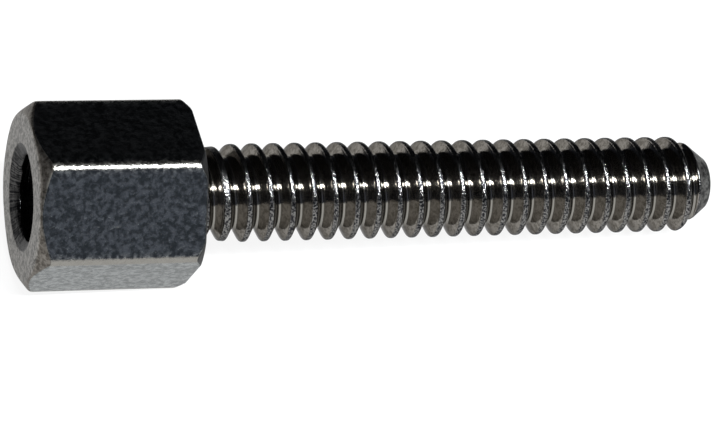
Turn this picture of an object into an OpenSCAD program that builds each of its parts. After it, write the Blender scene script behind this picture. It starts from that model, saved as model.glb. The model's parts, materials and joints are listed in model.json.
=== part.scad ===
// Jack screw: a hexagon-headed screw turned from one bar, with a threaded
// shank and a blind threaded hole in the head for a second screw to enter.
// Thread size 4-40 UNC, right hand. Millimetres.
//
// It lies as it comes to rest: on one flat of the head and on its tip.
// X runs along the screw from the head to the tip, Z is up.

/* [Head] */
// distance across the flats of the hexagon
hex_af = 4.76; // [4.4:0.02:5.6]
// length of the head along the screw
head_len = 4.72; // [4.4:0.01:8]
// radius on the six long edges
edge_r = 0.25; // [0.05:0.01:0.4]
// diameter of the flat front face
face_d = 4.64; // [4:0.01:4.7]
// angle of the front chamfer to the face
face_chamfer_deg = 38; // [15:1:45]
// diameter left at the shoulder by the rear chamfer
shoulder_d = 5.04; // [4.4:0.01:5.6]
// angle of the rear chamfer to the shoulder
shoulder_chamfer_deg = 50; // [15:1:60]

/* [Threaded hole] */
// diameter of the hole inside the thread crests
hole_d = 2.38; // [2.3:0.01:2.45]
// diameter over the roots of the hole's thread
tap_d = 2.87; // [2.85:0.01:2.92]
// width of the flat at those roots
tap_root = 0.05; // [0.04:0.01:0.08]
// depth of the full-diameter hole from the front face
hole_depth = 3.5; // [2:0.1:3.7]
// diameter of the countersunk mouth
mouth_d = 3.04; // [2.7:0.01:3.4]
// included angle of the countersink
mouth_deg = 120; // [60:5:120]
// included angle of the drill point at the bottom
drill_deg = 118; // [90:1:140]

/* [Shank] */
// length from the shoulder to the tip
shank_len = 15.8; // [8:0.1:24]
// thickness of the thin collar between the shoulder and the thread
collar_len = 0.06; // [0.04:0.01:0.2]
// diameter over the first crest, at the collar
start_d = 2.5; // [2.4:0.01:2.75]
// length over which the crests grow to their full diameter
start_len = 1.3; // [0.3:0.05:2]
// diameter of the flat end of the tip
tip_d = 1.5; // [1.2:0.05:2]
// angle of the tip's chamfer to the axis
tip_deg = 37; // [30:1:60]

/* [Thread] */
// diameter over the thread crests
major_d = 2.79; // [2.7:0.005:2.85]
// distance from one crest to the next
pitch = 0.635; // [0.6:0.005:0.72]
// width of the flat at the roots of the shank's thread
shank_root = 0.08; // [0.04:0.01:0.12]
// depth of the shank's thread from crest to root
thread_depth = 0.365; // [0.34:0.005:0.38]
// angle between the two flanks
flank_deg = 60; // [55:1:60]
// facets round each turn
turn_steps = 32; // [24:4:40]

/* [Hidden] */
$fn = 96;
steel = [0.30, 0.31, 0.33];
total_len = head_len + shank_len;
apothem = hex_af / 2;
major_r = major_d / 2;
corner_r = apothem / cos(30);
// the rounded long edges stand this little proud of the flats, so that both meet in clean lines
proud = 0.002;
// how far every cut runs past the surface it opens
past = 0.05;
// the shank is set this far into the head
overlap = 0.3;
// depth the front chamfer takes off the flats' corners, and the rear one
face_drop = (corner_r - face_d / 2) * tan(face_chamfer_deg);
rear_drop = max(0, corner_r - shoulder_d / 2) * tan(shoulder_chamfer_deg);
// the collar reaches just past the thread's radius, so that a washer seats on the shoulder
collar_r = major_r + 0.01;
thread_start = head_len + collar_len;
// where the tip's chamfer starts
tip_start = total_len - (major_r - tip_d / 2) / tan(tip_deg);
// half the shank groove's width at the crests
groove_half = shank_root / 2 + thread_depth * tan(flank_deg / 2);
// the hole's groove fades out over these last turns
fade_turns = 0.75;
// a crest of the shank stands a whole number of pitches from the shoulder at this angle
crest_angle = 106;
// the groove's middle at a distance along the screw, in turns, and back again
function turn_at(s) = (s - head_len) / pitch + 0.5 + crest_angle / 360;
function distance_at(turn) = head_len + (turn - 0.5 - crest_angle / 360) * pitch;

// the lying screw is turned about its heel, the shoulder's edge on the lower flat,
// until its tip end touches the table too
lean = atan2(apothem - major_r, tip_start - head_len);

// hexagonal bar with rounded long edges, one flat facing -X
module hex_bar() {
    arc_at = (apothem - edge_r) / cos(30);
    linear_extrude(head_len)
        union() {
            polygon([for (k = [0:5], side = [-1, 1])
                arc_at * [cos(60 * k + 30), sin(60 * k + 30)]
                + edge_r * [cos(60 * k + 30 + 30 * side), sin(60 * k + 30 + 30 * side)]]);
            for (k = [0:5])
                rotate(60 * k + 30)
                    translate([arc_at, 0])
                        circle(r = edge_r + proud);
        }
}

// what the turned chamfers leave of the bar at both ends of the head
module chamfer_envelope() {
    rotate_extrude()
        polygon([
            [0, 0],
            [face_d / 2, 0],
            [corner_r, face_drop],
            [corner_r, head_len - rear_drop],
            [min(corner_r, shoulder_d / 2), head_len],
            [0, head_len]
        ]);
}

// blind hole with its countersunk mouth and drill point
module hole() {
    mouth_len = (mouth_d - hole_d) / 2 / tan(mouth_deg / 2);
    cone_len = hole_d / 2 / tan(drill_deg / 2);
    translate([0, 0, -past])
        cylinder(h = hole_depth + past, d = hole_d);
    translate([0, 0, hole_depth])
        cylinder(h = cone_len, r1 = hole_d / 2, r2 = 0);
    translate([0, 0, -past])
        cylinder(h = mouth_len + past,
            r1 = mouth_d / 2 + past * tan(mouth_deg / 2), r2 = hole_d / 2);
}

// thin coned collar that stands between the shoulder and the first turn
module collar() {
    rotate_extrude()
        polygon([
            [0, head_len - overlap],
            [collar_r, head_len - overlap],
            [collar_r, head_len],
            [start_d / 2, thread_start],
            [0, thread_start]
        ]);
}

// turned blank of the shank: a slight taper to full diameter, then the chamfered tip
module shank_blank() {
    rotate_extrude()
        polygon([
            [0, head_len - overlap],
            [start_d / 2, head_len - overlap],
            [start_d / 2, thread_start],
            [major_r, thread_start + start_len],
            [major_r, tip_start],
            [tip_d / 2, total_len],
            [0, total_len]
        ]);
}

// one helical thread groove as a solid to cut away, swept from one distance along the
// screw to another. Its section is a V with a flat root. Over its last turns the root
// slides to end_r along the same flanks. The root is the groove's inner side on a shank
// and its outer side in a hole.
module thread_groove(root_r, root_half, open_r, open_half, from, to, end_r) {
    first = ceil(turn_at(from) * turn_steps);
    steps = floor(turn_at(to) * turn_steps) - first;
    slope = tan(flank_deg / 2);
    function root_at(i) =
        let (left = (steps - i) / turn_steps / fade_turns)
        root_r + (end_r - root_r) * max(0, 1 - left);
    function corners_at(i) =
        let (a = 360 * (first + i) / turn_steps,
             s = distance_at((first + i) / turn_steps),
             r = root_at(i),
             half = root_half + abs(r - root_r) * slope,
             inner = root_r < open_r ? [r, half] : [open_r, open_half],
             outer = root_r < open_r ? [open_r, open_half] : [r, half])
        [for (q = [[inner, -1], [inner, 1], [outer, 1], [outer, -1]])
            [q[0][0] * cos(a), q[0][0] * sin(a), s + q[1] * q[0][1]]];
    n = 4 * steps;
    sides = [for (i = [0:steps - 1], j = [0:3])
        let (p = 4 * i + j, q = 4 * i + (j + 1) % 4)
        each [[p, q + 4, q], [p, p + 4, q + 4]]];
    caps = [[0, 1, 2], [0, 2, 3], [n, n + 2, n + 1], [n, n + 3, n + 2]];
    polyhedron(points = [for (i = [0:steps]) each corners_at(i)],
        faces = concat(sides, caps), convexity = 20);
}

// the groove round the shank, which leaves the crests between its turns. It starts
// inside the head, whose solid fills it again up to the collar's end.
module shank_groove() {
    root_r = major_r - thread_depth;
    thread_groove(root_r = root_r, root_half = shank_root / 2,
        open_r = major_r + past, open_half = groove_half + past * tan(flank_deg / 2),
        from = thread_start - groove_half - past, to = total_len + past, end_r = root_r);
}

// the groove in the head's hole, which the tap leaves short of the drill point
module hole_groove() {
    depth = (tap_d - hole_d) / 2;
    half = tap_root / 2 + depth * tan(flank_deg / 2);
    thread_groove(root_r = tap_d / 2, root_half = tap_root / 2,
        open_r = hole_d / 2 - past, open_half = half + past * tan(flank_deg / 2),
        from = -half - past, to = hole_depth - half - pitch / 2,
        end_r = hole_d / 2 - past / 2);
}

module jack_screw() {
    // the middle of its length, and the height of its axis over the table at the face
    mid = (total_len * cos(lean) + (tip_d - face_d) / 2 * sin(lean)) / 2;
    rise = apothem * cos(lean) + head_len * sin(lean);
    color(steel)
        translate([-mid, 0, rise])
            rotate([0, 90 + lean, 0])
                difference() {
                    union() {
                        intersection() {
                            hex_bar();
                            chamfer_envelope();
                        }
                        collar();
                        difference() {
                            shank_blank();
                            shank_groove();
                        }
                    }
                    hole();
                    hole_groove();
                }
}

jack_screw();
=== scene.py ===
"""Jack screw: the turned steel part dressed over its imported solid.

One fine skin replaces the solid. It is worked out in the screw's own coordinates, in
millimetres: distance s along the axis from the front face, radius r, and angle. The
plated steel is one procedural material whose zones follow radius, distance and slope.
"""

import json
import math

import bmesh
import bpy
import numpy as np
from mathutils import Matrix, Vector


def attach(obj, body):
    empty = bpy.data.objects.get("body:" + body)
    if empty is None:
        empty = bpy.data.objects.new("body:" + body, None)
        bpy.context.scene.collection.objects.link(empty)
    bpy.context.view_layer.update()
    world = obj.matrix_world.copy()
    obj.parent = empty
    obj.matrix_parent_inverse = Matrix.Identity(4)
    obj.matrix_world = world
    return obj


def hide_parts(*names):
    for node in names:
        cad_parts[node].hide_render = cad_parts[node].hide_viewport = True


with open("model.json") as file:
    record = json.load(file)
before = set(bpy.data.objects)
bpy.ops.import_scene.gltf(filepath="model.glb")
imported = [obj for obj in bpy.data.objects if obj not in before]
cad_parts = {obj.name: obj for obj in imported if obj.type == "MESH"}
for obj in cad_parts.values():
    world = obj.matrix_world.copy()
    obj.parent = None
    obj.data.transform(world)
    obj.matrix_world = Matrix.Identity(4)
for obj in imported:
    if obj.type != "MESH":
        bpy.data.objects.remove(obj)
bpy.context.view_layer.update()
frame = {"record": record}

MM = 0.001
mounts = {mount["name"]: mount for mount in frame["record"]["mounts"]}

# ---------------------------------------------------------------- sizes, in millimetres
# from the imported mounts
AXIS = Vector(mounts["thread"]["axis"]).normalized()
DOWN = Vector((AXIS.z, 0, -AXIS.x))
ACROSS = Vector((0, 1, 0))
ON_AXIS = Vector(mounts["socket"]["pos_m"]) / MM
FACE_AT = AXIS * (Vector(mounts["end_face"]["pos_m"]) / MM - ON_AXIS).dot(AXIS) + ON_AXIS
HEAD_LEN = (Vector(mounts["shoulder"]["pos_m"]) / MM - FACE_AT).dot(AXIS)
SHANK_MIDDLE = (Vector(mounts["thread"]["pos_m"]) / MM - FACE_AT).dot(AXIS)
TOTAL_LEN = HEAD_LEN + 2 * (SHANK_MIDDLE - HEAD_LEN)
MAJOR_R = mounts["thread"]["dims"]["r_mm"]
HOLE_R = mounts["socket"]["dims"]["r_mm"]

# head
APOTHEM = 2.38
EDGE_R = 0.25
FACE_R = 2.32
FACE_CHAMFER = math.radians(38)
SHOULDER_R = 2.52
SHOULDER_CHAMFER = math.radians(50)
# the rear chamfer takes at least this much off, also in the middle of a flat
EDGE_BREAK = 0.03
# where the circles that round the long edges have their middles, and the angle from a
# long edge at which its circle meets the flat
ARC_AT = (APOTHEM - EDGE_R) / math.cos(math.pi / 6)
EDGE_END = math.atan2(EDGE_R * math.sin(math.pi / 6), ARC_AT + EDGE_R * math.cos(math.pi / 6))

# threaded hole
HOLE_DEPTH = 3.5
DRILL_HALF_ANGLE = math.radians(59)
MOUTH_R = 1.52
MOUTH_HALF_ANGLE = math.radians(60)
# the countersink's outermost part, which belongs to the head's rows
RIM_DEPTH = 0.03

# shank
COLLAR_PROUD = 0.01
COLLAR_R = MAJOR_R + COLLAR_PROUD
COLLAR_LEN = 0.06
START_R = 1.25
START_LEN = 1.3
TIP_R = 0.75
TIP_CHAMFER = math.radians(37)
# the last part of the tip, which the thread no longer reaches
TIP_ROW = 0.08

# threads
PITCH = 0.635
FLANK_ANGLE = math.radians(30)
FLANK = math.tan(FLANK_ANGLE)
THREAD_DEPTH = 0.365
SHANK_ROOT_R = MAJOR_R - THREAD_DEPTH
SHANK_ROOT_HALF = 0.04
ROOT_ROUND_R = 0.072
TAP_R = 1.435
TAP_ROOT_HALF = 0.025
# a crest lies a whole number of pitches from the shoulder at this angle from DOWN, and
# the groove's middle passes the shoulder at this turn
CREST_ANGLE = 106
CREST_TURN = 0.5 + CREST_ANGLE / 360
# the tap runs out over these turns, ends so many pitches before the hole's full depth,
# and its root ends this far inside the hole's crests
FADE_TURNS = 0.75
TAP_STOP = 0.8
TAP_SUNK = 0.03

# widths over which two surfaces ease into each other
START_EASE = 0.02
TIP_EASE = 0.05
CREST_EASE = 0.07
COLLAR_EASE = 0.02
MOUTH_EASE = 0.02
TAP_ROOT_EASE = 0.05
TAP_CREST_EASE = 0.03

# how far from each turned corner its rounding starts
RIM_ROUND = 0.03
FACE_ROUND = 0.12
FRONT_ROUND = 0.10
REAR_ROUND = 0.06
SHOULDER_ROUND = 0.03
TIP_ROUND = 0.05
# a rounding takes at most this share of a run, and its support row lies so many times
# as far from the corner, at most at this share of the run
ROUND_SHARE = 0.4
SUPPORT = 1.25
SUPPORT_SHARE = 0.47

# spacing of the grids: degrees past a rounded edge, degrees from a long edge over half
# a flat, collar lengths from the shoulder, and distances from a groove's middle to the
# next crest
EDGE_SUPPORT = 0.5
FLAT_COLUMNS = [6, 10, 14.5, 19.5, 24.5]
COLLAR_STEPS = [0, 0.2, 0.4, 0.6, 0.8, 1, 1.25, 1.5, 1.8, 2.2, 2.7, 3]
SHANK_STEPS = [0, 0.018, 0.036, 0.05, 0.062, 0.075, 0.14,
               0.205, 0.225, 0.24, 0.255, 0.27, 0.285, PITCH / 2]
HOLE_STEPS = [0, 0.02, 0.045, 0.09, 0.13, 0.16, 0.19, 0.25, PITCH / 2]
# in metres: points nearer than this are made one, and shorter edges are taken out
MERGE_WITHIN = 2e-7
SHORTEST_EDGE = 1e-8


# ---------------------------------------------------------------- surfaces
def soft_min(a, b, width):
    """The smaller of a and b, rounded over a difference of width: a quadratic dip
    h*h*width/4, where h runs from 0 at that difference to 1 where a equals b."""
    h = np.maximum(width - np.abs(a - b), 0) / width
    return np.minimum(a, b) - h * h * width / 4


def soft_max(a, b, width):
    """The larger of a and b, rounded the same way."""
    return -soft_min(-a, -b, width)


def column_angles():
    """Angles of the skin's columns round one turn: in each sixth, close together over
    the rounded long edge of the hexagon and wider over the flat between two edges."""
    edge = math.degrees(EDGE_END)
    half = np.array([0, edge / 3, edge * 2 / 3, edge, edge + EDGE_SUPPORT] + FLAT_COLUMNS)
    sixth = np.concatenate([half, [30], 60 - half[:0:-1]])
    return np.radians(np.concatenate([30 + 60 * k + sixth for k in range(6)]))


def hexagon_radius(angle):
    """Radius of the bar at each angle: a flat's distance over the cosine from its
    middle, or near a corner the far side of the circle that rounds that corner."""
    off = np.abs(angle % (math.pi / 3) - math.pi / 6)
    flat = APOTHEM / np.cos(math.pi / 6 - off)
    arc = ARC_AT * np.cos(off) + np.sqrt(np.maximum(EDGE_R ** 2 - (ARC_AT * np.sin(off)) ** 2, 0))
    return np.where(off < EDGE_END, arc, flat)


def rounded_path(corners, radii, steps=5):
    """Rows of (s, r) along straight runs with rounded corners, for all columns at once.
    Each inner corner becomes a quadratic curve that starts and ends its radius away
    along the two runs, or nearer on a short run, with a support row a little further off
    on each side."""
    rows = [corners[0]]
    for before, corner, after, radius in zip(corners, corners[1:], corners[2:], radii):
        back, ahead = before - corner, after - corner
        back_len = np.linalg.norm(back, axis=0) + 1e-9
        ahead_len = np.linalg.norm(ahead, axis=0) + 1e-9
        start = corner + back * np.minimum(radius / back_len, ROUND_SHARE)
        end = corner + ahead * np.minimum(radius / ahead_len, ROUND_SHARE)
        rows.append(corner + back * np.minimum(SUPPORT * radius / back_len, SUPPORT_SHARE))
        for t in np.linspace(0, 1, steps):
            rows.append((1 - t) ** 2 * start + 2 * t * (1 - t) * corner + t * t * end)
        rows.append(corner + ahead * np.minimum(SUPPORT * radius / ahead_len, SUPPORT_SHARE))
    rows.append(corners[-1])
    return np.stack(rows)


def place(s, r, angle):
    """Points of the shared frame, in metres: the front face's middle, plus the distance
    along AXIS, the radius times the angle's cosine along DOWN and its sine ACROSS."""
    across = r * np.sin(angle)
    down = r * np.cos(angle)
    return MM * (np.array(FACE_AT) + s[..., None] * np.array(AXIS)
                 + down[..., None] * np.array(DOWN) + across[..., None] * np.array(ACROSS))


def grid_faces(rows, columns, closed, start=0):
    """Quads of a grid of points stored row by row; closed joins last column to first."""
    i = np.arange(rows - 1)[:, None]
    j = np.arange(columns if closed else columns - 1)[None, :]
    k = (j + 1) % columns
    quads = np.stack([i * columns + j, i * columns + k,
                      (i + 1) * columns + k, (i + 1) * columns + j], axis=-1)
    return quads.reshape(-1, 4) + start


def level(s, r, angle):
    """One row of (s, r), in which a plain number holds for every column."""
    same = np.ones_like(angle)
    return np.stack([s * same, r * same])


def head_rows(angle):
    """From the rim of the hole's mouth over the ring, chamfers, flats and shoulder to
    the collar, as rounded paths in every column's own plane. A chamfer drops by the
    radius it takes off times the tangent of its angle."""
    hexagon = hexagon_radius(angle)
    drop = np.maximum(hexagon - FACE_R, 0) * math.tan(FACE_CHAMFER)
    shoulder = np.minimum(SHOULDER_R, hexagon - EDGE_BREAK)
    rear_drop = (hexagon - shoulder) * math.tan(SHOULDER_CHAMFER)
    rim_r = MOUTH_R - RIM_DEPTH * math.tan(MOUTH_HALF_ANGLE)
    corners = [level(s, r, angle) for s, r in (
        (RIM_DEPTH, rim_r),
        (0, MOUTH_R),
        (0, FACE_R),
        (drop, hexagon),
        (HEAD_LEN - rear_drop, hexagon),
        (HEAD_LEN, shoulder),
        (HEAD_LEN, COLLAR_R))]
    radii = (RIM_ROUND, FACE_ROUND, FRONT_ROUND, REAR_ROUND, SHOULDER_ROUND)
    return rounded_path(corners, radii)


def collar_rows(angle):
    """Rows close together over the collar and the start of the thread, where the
    collar's steep cone sinks into the groove."""
    s = HEAD_LEN + COLLAR_LEN * np.array(COLLAR_STEPS)
    s = s[:, None] + 0 * angle[None, :]
    return np.stack([s, shank_thread(s, angle[None, :])], axis=1)


def shank_blank(s):
    """Radius of the turned blank: a slight taper from the collar up to the full thread
    diameter, and a chamfer down to the flat tip, each edge eased."""
    taper = START_R + (s - HEAD_LEN - COLLAR_LEN) * (MAJOR_R - START_R) / START_LEN
    chamfer = TIP_R + (TOTAL_LEN - s) * math.tan(TIP_CHAMFER)
    return soft_min(soft_min(taper, MAJOR_R + 0 * s, START_EASE), chamfer, TIP_EASE)


def groove_turn(s, angle):
    """Turn number of the groove's middle that lies nearest to distance s at an angle."""
    turn = angle / (2 * math.pi)
    return turn + np.round((s - HEAD_LEN) / PITCH + CREST_TURN - turn)


def from_groove(s, angle):
    """Distance along the screw from the middle of the nearest turn of the groove."""
    return np.abs(s - HEAD_LEN - (groove_turn(s, angle) - CREST_TURN) * PITCH)


def shank_thread(s, angle):
    """Radius of the shank: the groove's 30 degree flanks with a round root that touches
    both, the blank outside, and the collar's cone where that stands higher."""
    off = from_groove(s, angle)
    flank = SHANK_ROOT_R + (off - SHANK_ROOT_HALF) / FLANK
    centre = SHANK_ROOT_R + 2 * ROOT_ROUND_R - SHANK_ROOT_HALF / FLANK
    root = centre - np.sqrt(np.maximum(ROOT_ROUND_R ** 2 - off ** 2, 0))
    groove = np.where(off < ROOT_ROUND_R * math.cos(FLANK_ANGLE), root, flank)
    collar = COLLAR_R - (s - HEAD_LEN) * (COLLAR_R - START_R) / COLLAR_LEN
    return soft_max(soft_min(shank_blank(s), groove, CREST_EASE), collar, COLLAR_EASE)


def hole_thread(s, angle):
    """Radius of the hole: the countersink or the crest inside, the groove's flanks and
    its root outside, which rises out again over the last turns."""
    last_turn = (HOLE_DEPTH - TAP_STOP * PITCH - HEAD_LEN) / PITCH + CREST_TURN
    left = np.clip((last_turn - groove_turn(s, angle)) / FADE_TURNS, 0, 1)
    root = HOLE_R - TAP_SUNK + (TAP_R - HOLE_R + TAP_SUNK) * left
    flank = TAP_R - (from_groove(s, angle) - TAP_ROOT_HALF) / FLANK
    bore = soft_max(HOLE_R + 0 * s, MOUTH_R - s * math.tan(MOUTH_HALF_ANGLE), MOUTH_EASE)
    return soft_max(bore, soft_min(flank, root, TAP_ROOT_EASE), TAP_CREST_EASE)


def thread_ribbon(radius, low, high, columns, steps):
    """A thread's surface as one ribbon a pitch wide, wound round and round. Distance
    along the screw grows by one pitch a turn and is held between low and high, so the
    ribbon starts and ends on plane curves; radius gives each point's radius."""
    half = np.array(steps)
    across = np.concatenate([-half[::-1], half[1:]])
    first = math.floor((low - HEAD_LEN) / PITCH + CREST_TURN) - 1
    last = math.ceil((high - HEAD_LEN) / PITCH + CREST_TURN) + 1
    angle = np.concatenate([columns + 2 * math.pi * k for k in range(first, last)])[:, None]
    s = HEAD_LEN + (angle / (2 * math.pi) - CREST_TURN) * PITCH + across[None, :]
    s = np.clip(s, low, high)
    points = place(s, radius(s, angle + 0 * s), angle + 0 * s)
    return points.reshape(-1, 3), grid_faces(len(angle), len(across), False)


def skin_mesh(name, parts):
    """One closed mesh from grids of points that share their edges' positions."""
    points = np.concatenate([p for p, _ in parts])
    starts = np.cumsum([0] + [len(p) for p, _ in parts[:-1]])
    faces = np.concatenate([f + start for (_, f), start in zip(parts, starts)])
    mesh = bpy.data.meshes.new(name)
    mesh.from_pydata(points.tolist(), [], faces.tolist())
    work = bmesh.new()
    work.from_mesh(mesh)
    bmesh.ops.remove_doubles(work, verts=work.verts, dist=MERGE_WITHIN)
    bmesh.ops.dissolve_degenerate(work, edges=work.edges, dist=SHORTEST_EDGE)
    bmesh.ops.recalc_face_normals(work, faces=work.faces)
    work.to_mesh(mesh)
    work.free()
    mesh.polygons.foreach_set("use_smooth", np.ones(len(mesh.polygons), bool))
    return mesh


def screw_skin():
    """The whole outside and inside of the screw as one closed surface: turned rows for
    the head, collar, tip and drill point, and ribbons for the two threads."""
    columns = column_angles()

    def revolve(rows):
        """Rows of (s, r) carried once round the axis."""
        points = place(rows[:, 0], rows[:, 1], columns[None, :] + 0 * rows[:, 0])
        return points.reshape(-1, 3), grid_faces(len(rows), len(columns), True)

    shank_from = HEAD_LEN + COLLAR_STEPS[-1] * COLLAR_LEN
    tip_at = TOTAL_LEN - TIP_ROW
    tip_edge = float(shank_blank(np.array([tip_at]))[0])
    point_at = HOLE_DEPTH + HOLE_R / math.tan(DRILL_HALF_ANGLE)
    tip = rounded_path([level(tip_at, tip_edge, columns), level(TOTAL_LEN, TIP_R, columns),
                        level(TOTAL_LEN, 0, columns)], (TIP_ROUND,))
    drill = np.stack([level(HOLE_DEPTH, HOLE_R, columns), level(point_at, 0, columns)])
    return skin_mesh("screw_skin", [
        revolve(head_rows(columns)),
        revolve(collar_rows(columns)),
        thread_ribbon(shank_thread, shank_from, tip_at, columns, SHANK_STEPS),
        thread_ribbon(hole_thread, RIM_DEPTH, HOLE_DEPTH, columns, HOLE_STEPS),
        revolve(tip),
        revolve(drill)])


# ---------------------------------------------------------------- shader expressions
class Value:
    """A shader socket whose arithmetic in Python adds Math nodes."""

    def __init__(self, graph, socket):
        self.graph = graph
        self.socket = socket

    def math(self, operation, *others):
        return self.graph.node("ShaderNodeMath", {"operation": operation},
                               dict(enumerate((self, *others))))

    def __add__(self, other):
        return self.math("ADD", other)

    def __sub__(self, other):
        return self.math("SUBTRACT", other)

    def __mul__(self, other):
        return self.math("MULTIPLY", other)

    def __rsub__(self, other):
        return self.graph.node("ShaderNodeMath", {"operation": "SUBTRACT"}, {0: other, 1: self})

    __radd__ = __add__
    __rmul__ = __mul__

    def step(self, low, high):
        """0 below low and 1 above high, with a smooth rise between."""
        return self.graph.node("ShaderNodeMapRange", {"interpolation_type": "SMOOTHSTEP"},
                               {"Value": self, "From Min": low, "From Max": high})


class Graph:
    """The node tree of a material or world, filled through one method."""

    def __init__(self, owner):
        owner.use_nodes = True
        self.tree = owner.node_tree
        self.tree.nodes.clear()

    def node(self, kind, settings=None, sockets=None, output=0):
        """Adds a node, sets its properties, then its sockets to numbers or links."""
        made = self.tree.nodes.new(kind)
        for key, setting in (settings or {}).items():
            setattr(made, key, setting)
        for key, given in (sockets or {}).items():
            if isinstance(given, Value):
                self.tree.links.new(given.socket, made.inputs[key])
            else:
                made.inputs[key].default_value = given
        return Value(self, made.outputs[output]) if len(made.outputs) else None

    def mix(self, share, low, high):
        """A colour from low to high as share goes from 0 to 1."""
        colours = {6: low, 7: high}
        colours = {key: (*c, 1) if isinstance(c, tuple) else c for key, c in colours.items()}
        return self.node("ShaderNodeMix", {"data_type": "RGBA"}, {0: share, **colours}, output=2)

    def noise(self, where, scale, detail=2, roughness=0.5, distortion=0.0):
        """Noise from 0 to 1 with so many blotches to a unit of length."""
        return self.node("ShaderNodeTexNoise", {},
                         {"Vector": where, "Scale": scale, "Detail": detail,
                          "Roughness": roughness, "Distortion": distortion})

    def lines(self, along, scale):
        """Noise from 0 to 1 that changes along one value only."""
        return self.node("ShaderNodeTexNoise", {"noise_dimensions": "1D"},
                         {"W": along, "Scale": scale, "Detail": 2.0})

    def dot(self, one, other):
        """The dot product of two directions."""
        return self.node("ShaderNodeVectorMath", {"operation": "DOT_PRODUCT"},
                         {0: one, 1: other}, output=1)


# ---------------------------------------------------------------- plated steel
# colours of each surface where it is darkest and where it is palest
FLAT = ((0.105, 0.115, 0.115), (0.27, 0.285, 0.285))
RING = ((0.06, 0.058, 0.053), (0.31, 0.297, 0.278))
FRONT_BEVEL = ((0.07, 0.062, 0.053), (0.20, 0.185, 0.165))
# the hole's mouth and bore: streaked, and darkened all over as painted shade in the recess
MOUTH_STREAKS_AND_SHADE = ((0.01, 0.01, 0.011), (0.085, 0.083, 0.081))
FLANK_TO_HEAD = ((0.13, 0.12, 0.105), (0.24, 0.225, 0.205))
CREST = ((0.022, 0.022, 0.025), (0.21, 0.207, 0.20))
TIP = ((0.06, 0.06, 0.06), (0.19, 0.19, 0.185))
# colours that are even
SPECK = (0.34, 0.32, 0.29)
REAR_BEVEL = (0.05, 0.05, 0.05)
LONG_EDGE = (0.25, 0.24, 0.22)
RUBBED = (0.30, 0.29, 0.265)
# a painted reflection: the thread's flanks that face the tip are made paler
FLANK_TO_TIP_PAINTED_REFLECTION = (0.34, 0.325, 0.30)
ROOT = (0.25, 0.24, 0.22)
# how much of the reflection is left at a glancing angle
HEAD_GLANCE = 0.75
SHANK_GLANCE = 0.4
# blotches to a millimetre, fine rings to a millimetre, and streaks to a radian
MOTTLE_SCALE = 6.0
GRAIN_SCALE = 14.0
CREST_SCALE = 20.0
RING_SCALE = 26.0
STREAK_SCALE = 22.0
# height of the relief
RELIEF = 0.014 * MM

# each zone sets in between two values: distance from the front face, radius, slope to
# the screw's length, depth below the blank, or height over the thread's root
SHANK_FROM = (HEAD_LEN + 0.02, HEAD_LEN + 0.05)
REAR_FROM = (HEAD_LEN - 1.0, HEAD_LEN - 0.6)
TIP_FROM = (TOTAL_LEN - 0.72, TOTAL_LEN - 0.60)
MOUTH_WITHIN = (MOUTH_R - 0.03, MOUTH_R + 0.01)
LONG_EDGE_FROM = (2.672, 2.69)
RUBBED_FROM = (2.60, 2.69)
TURNED_FROM = (0.15, 0.35)
RING_FROM = (0.86, 0.96)
TIPWARD_FROM = (0.25, 0.45)
CREST_WITHIN = (0.012, 0.05)
ROOT_WITHIN = (0.015, 0.06)


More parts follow.
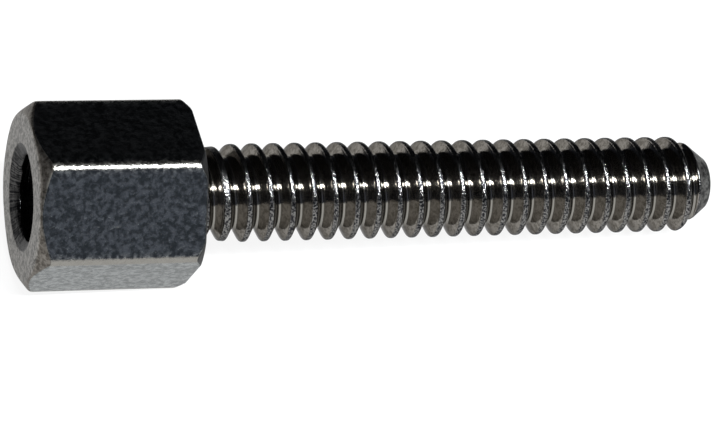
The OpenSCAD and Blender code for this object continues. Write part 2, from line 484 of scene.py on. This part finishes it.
def plated_steel():
    """Dull dark plating on turned and milled steel. The flats are mottled and rubbed
    along the long edges, the turned faces have fine rings, the countersink is streaked,
    the long edges and the thread's roots are burnished, and the rolled crests and the
    tip are rough. The countersink and the hole are darkened as painted shade, and the
    thread's flanks that face the tip are paler as a painted reflection."""
    material = bpy.data.materials.new("plated_steel")
    g = Graph(material)
    # the screw's own coordinates in millimetres: s along its axis, y and z across it
    upright = Matrix((AXIS, ACROSS, -DOWN))
    raw = g.node("ShaderNodeTexCoord", output=3)
    own = g.node("ShaderNodeMapping", {}, {
        "Vector": raw, "Location": -(upright @ FACE_AT),
        "Rotation": upright.to_euler(), "Scale": (1 / MM,) * 3})
    split = g.node("ShaderNodeSeparateXYZ", {}, {0: own}).socket.node
    s, y, z = (Value(g, split.outputs[k]) for k in range(3))
    radius = (y * y + z * z).math("SQRT")
    # 1 on a face towards the tip, -1 on one towards the head, 0 along the screw
    facing = g.dot(g.node("ShaderNodeNewGeometry", output=1), AXIS)
    slope = facing.math("ABSOLUTE")

    # patterns
    mottle = g.noise(own, MOTTLE_SCALE, detail=4, roughness=0.62, distortion=0.3)
    grain = g.noise(own, GRAIN_SCALE, roughness=0.6)
    fine = g.noise(own, CREST_SCALE)
    rings = g.lines(radius * RING_SCALE, 1.0)
    streaks = g.lines(y.math("ARCTAN2", z), STREAK_SCALE)
    worn = mottle.step(0.42, 0.58) * 0.6 + grain.step(0.42, 0.58) * 0.4
    cut = (streaks * 0.4 + mottle * 0.6).step(0.42, 0.60)

    # zones of the head
    on_shank = s.step(*SHANK_FROM)
    on_head = 1 - on_shank
    turned = on_head * slope.step(*TURNED_FROM)
    ring = on_head * slope.step(*RING_FROM)
    rear = s.step(*REAR_FROM)
    milled = on_head * (1 - turned)
    edge = milled * radius.step(*LONG_EDGE_FROM)
    rubbed = milled * radius.step(*RUBBED_FROM) * mottle.step(0.40, 0.62)
    # inside the hole's mouth, where the colour is darkened as painted shade
    inside = on_head * (1 - radius.step(*MOUTH_WITHIN))

    # zones of the shank: its crests by the depth below the turned blank
    taper = START_R + (s - HEAD_LEN - COLLAR_LEN) * ((MAJOR_R - START_R) / START_LEN)
    chamfer = TIP_R + (TOTAL_LEN - s) * math.tan(TIP_CHAMFER)
    below = taper.math("MINIMUM", chamfer).math("MINIMUM", MAJOR_R) - radius
    crest = on_shank * (1 - below.step(*CREST_WITHIN))
    root = on_shank * (1 - (radius - SHANK_ROOT_R).step(*ROOT_WITHIN))
    tip = crest * s.step(*TIP_FROM)

    # colours
    flat = g.mix(mottle.step(0.38, 0.64), *FLAT)
    flat = g.mix(grain.step(0.62, 0.72) * 0.5, flat, SPECK)
    bevel = g.mix(rear, g.mix(worn, *FRONT_BEVEL), REAR_BEVEL)
    head_colour = g.mix(turned, flat, bevel)
    head_colour = g.mix(ring, head_colour, g.mix(worn, *RING))
    head_colour = g.mix(edge, head_colour, LONG_EDGE)
    head_colour = g.mix(rubbed * 0.5, head_colour, RUBBED)
    # painted shade: the countersink and the hole take a near-black streaked colour
    head_colour = g.mix(inside, head_colour, g.mix(cut, *MOUTH_STREAKS_AND_SHADE))
    flank = g.mix((mottle + grain).step(0.8, 1.15), *FLANK_TO_HEAD)
    # painted reflection: flanks facing the tip take a paler colour
    flank = g.mix(facing.step(*TIPWARD_FROM), flank, FLANK_TO_TIP_PAINTED_REFLECTION)
    shank_colour = g.mix(root, flank, ROOT)
    colour = g.mix(on_shank, head_colour, shank_colour)
    colour = g.mix(crest, colour, g.mix(fine.step(0.44, 0.57), *CREST))
    colour = g.mix(tip, colour, g.mix(mottle.step(0.4, 0.6), *TIP))

    # roughness and relief
    head_rough = 0.15 + 0.07 * mottle + turned * 0.22 + edge * 0.05 + rubbed * 0.10
    shank_rough = 0.12 + crest * 0.07
    roughness = on_head * head_rough + on_shank * shank_rough
    head_height = mottle * 0.7 + grain * 0.5 + turned * rings * 0.3 + edge * grain * 0.3
    shank_height = grain * 0.15 + crest * fine * 1.15
    height = on_head * head_height + on_shank * shank_height
    bump = g.node("ShaderNodeBump", {}, {"Strength": 1.0, "Distance": RELIEF, "Height": height})
    head, shank = (g.node("ShaderNodeBsdfPrincipled", {}, {
        "Base Color": colour, "Metallic": 1.0, "Roughness": roughness, "Normal": bump,
        "Specular Tint": (glance, glance, glance, 1)})
        for glance in (HEAD_GLANCE, SHANK_GLANCE))
    surface = g.node("ShaderNodeMixShader", {}, {0: on_shank, 1: head, 2: shank})
    g.node("ShaderNodeOutputMaterial", {}, {"Surface": surface})
    return material


# ---------------------------------------------------------------- stage, light, camera
WHITE = (1.0, 1.0, 1.0)
FLOOR_HALF = 0.6
FLOOR_COLOUR = (0.85, 0.85, 0.85, 1)
FLOOR_GLOW = 0.88
# the world's grey for matt surfaces, and for polished ones the room from its horizon
# up and its dim panel, with the direction of the panel's middle
MATT_LIGHT = (0.7, 0.7, 0.7)
HORIZON = (0.9, 0.9, 0.9)
LOW_ROOM = (0.02, 0.024, 0.034)
HIGH_ROOM = (0.004, 0.004, 0.006)
PANEL = (0.15, 0.165, 0.21)
PANEL_TOWARDS = Vector((0.27, -0.926, 0.263)).normalized()
# the camera, in millimetres and degrees
CAMERA_AT = Vector((-27.40, -69.734, 67.962))
CAMERA_AIM = Vector((-0.205, -0.378, 1.504))
CAMERA_ROLL = -10.465
LENS = 172.3


def seen_rays(g):
    """1 for rays that show the background: the camera's, reflected and refracted ones."""
    path = g.node("ShaderNodeLightPath").socket.node.outputs
    direct, glossy, through = (Value(g, path[name]) for name in (
        "Is Camera Ray", "Is Glossy Ray", "Is Transmission Ray"))
    return direct.math("MAXIMUM", glossy).math("MAXIMUM", through)


def white_floor():
    """A pale matt sheet that glows a little for the rays that see it, so that it looks
    white and still takes the screw's soft shadow."""
    material = bpy.data.materials.new("pale_floor")
    g = Graph(material)
    matt = g.node("ShaderNodeBsdfDiffuse", {}, {"Color": FLOOR_COLOUR})
    glow = g.node("ShaderNodeEmission", {}, {"Color": (*WHITE, 1), "Strength": 1.0})
    surface = g.node("ShaderNodeMixShader", {}, {0: seen_rays(g) * FLOOR_GLOW, 1: matt, 2: glow})
    g.node("ShaderNodeOutputMaterial", {}, {"Surface": surface})
    mesh = bpy.data.meshes.new("floor")
    corners = np.array([[-1, -1, 0], [1, -1, 0], [1, 1, 0], [-1, 1, 0]]) * FLOOR_HALF
    mesh.from_pydata(corners.tolist(), [], [[0, 1, 2, 3]])
    mesh.materials.append(material)
    floor = bpy.data.objects.new("floor", mesh)
    bpy.context.collection.objects.link(floor)


def studio_world():
    """White behind the floor for the camera, an even grey for matt surfaces, and for
    polished ones a dark room over a pale horizon, with one dim bluish panel."""
    world = bpy.data.worlds.new("studio")
    bpy.context.scene.world = world
    g = Graph(world)
    path = g.node("ShaderNodeLightPath").socket.node.outputs
    direct, glossy = (Value(g, path[name]) for name in ("Is Camera Ray", "Is Glossy Ray"))
    direction = g.node("ShaderNodeTexCoord")
    split = g.node("ShaderNodeSeparateXYZ", {}, {0: direction}).socket.node
    rise = Value(g, split.outputs[2])
    room = g.mix(rise.step(0.0, 0.04), HORIZON, LOW_ROOM)
    room = g.mix(rise.step(0.15, 0.5), room, HIGH_ROOM)
    room = g.mix(g.dot(direction, PANEL_TOWARDS).step(0.90, 0.975), room, PANEL)
    colour = g.mix(glossy, MATT_LIGHT, room)
    colour = g.mix(direct, colour, WHITE)
    surface = g.node("ShaderNodeBackground", {}, {"Color": colour, "Strength": 1.0})
    g.node("ShaderNodeOutputWorld", {}, {"Surface": surface})


def lamp(name, towards, distance, width, height, radiance, colour):
    """A soft rectangular lamp in the given direction from the screw's middle, facing it
    with its width along the screw. Its power is brightness times pi times area."""
    data = bpy.data.lights.new(name, "AREA")
    data.shape = "RECTANGLE"
    data.size = width
    data.size_y = height
    data.energy = radiance * math.pi * width * height
    data.color = colour
    light = bpy.data.objects.new(name, data)
    back = Vector(towards).normalized()
    along = (AXIS - AXIS.dot(back) * back).normalized()
    turned = Matrix((along, back.cross(along), back)).transposed().to_4x4()
    light.matrix_world = Matrix.Translation(back * distance) @ turned
    bpy.context.collection.objects.link(light)


def camera():
    """A long lens above and in front of the screw, rolled so that it lies level."""
    data = bpy.data.cameras.new("camera")
    data.sensor_width = 36
    data.lens = LENS
    data.clip_start = 0.001
    data.clip_end = 10
    view = bpy.data.objects.new("camera", data)
    place_at = CAMERA_AT * MM
    facing = (CAMERA_AIM * MM - place_at).to_track_quat("-Z", "Y").to_matrix()
    rolled = Matrix.Rotation(-math.radians(CAMERA_ROLL), 3, "Z")
    view.matrix_world = Matrix.Translation(place_at) @ (facing @ rolled).to_4x4()
    bpy.context.collection.objects.link(view)
    bpy.context.scene.camera = view


def screw():
    """The dressed screw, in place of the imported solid."""
    mesh = screw_skin()
    mesh.materials.append(plated_steel())
    piece = bpy.data.objects.new("jack_screw_skin", mesh)
    bpy.context.collection.objects.link(piece)
    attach(piece, "root")
    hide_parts("jack_screw")


screw()
white_floor()
studio_world()
lamp("key", towards=(0.233, -0.529, 0.816), distance=0.30, width=0.224, height=0.028,
     radiance=115, colour=(0.93, 0.97, 1.0))
camera()
bpy.context.scene.view_settings.view_transform = "Standard"
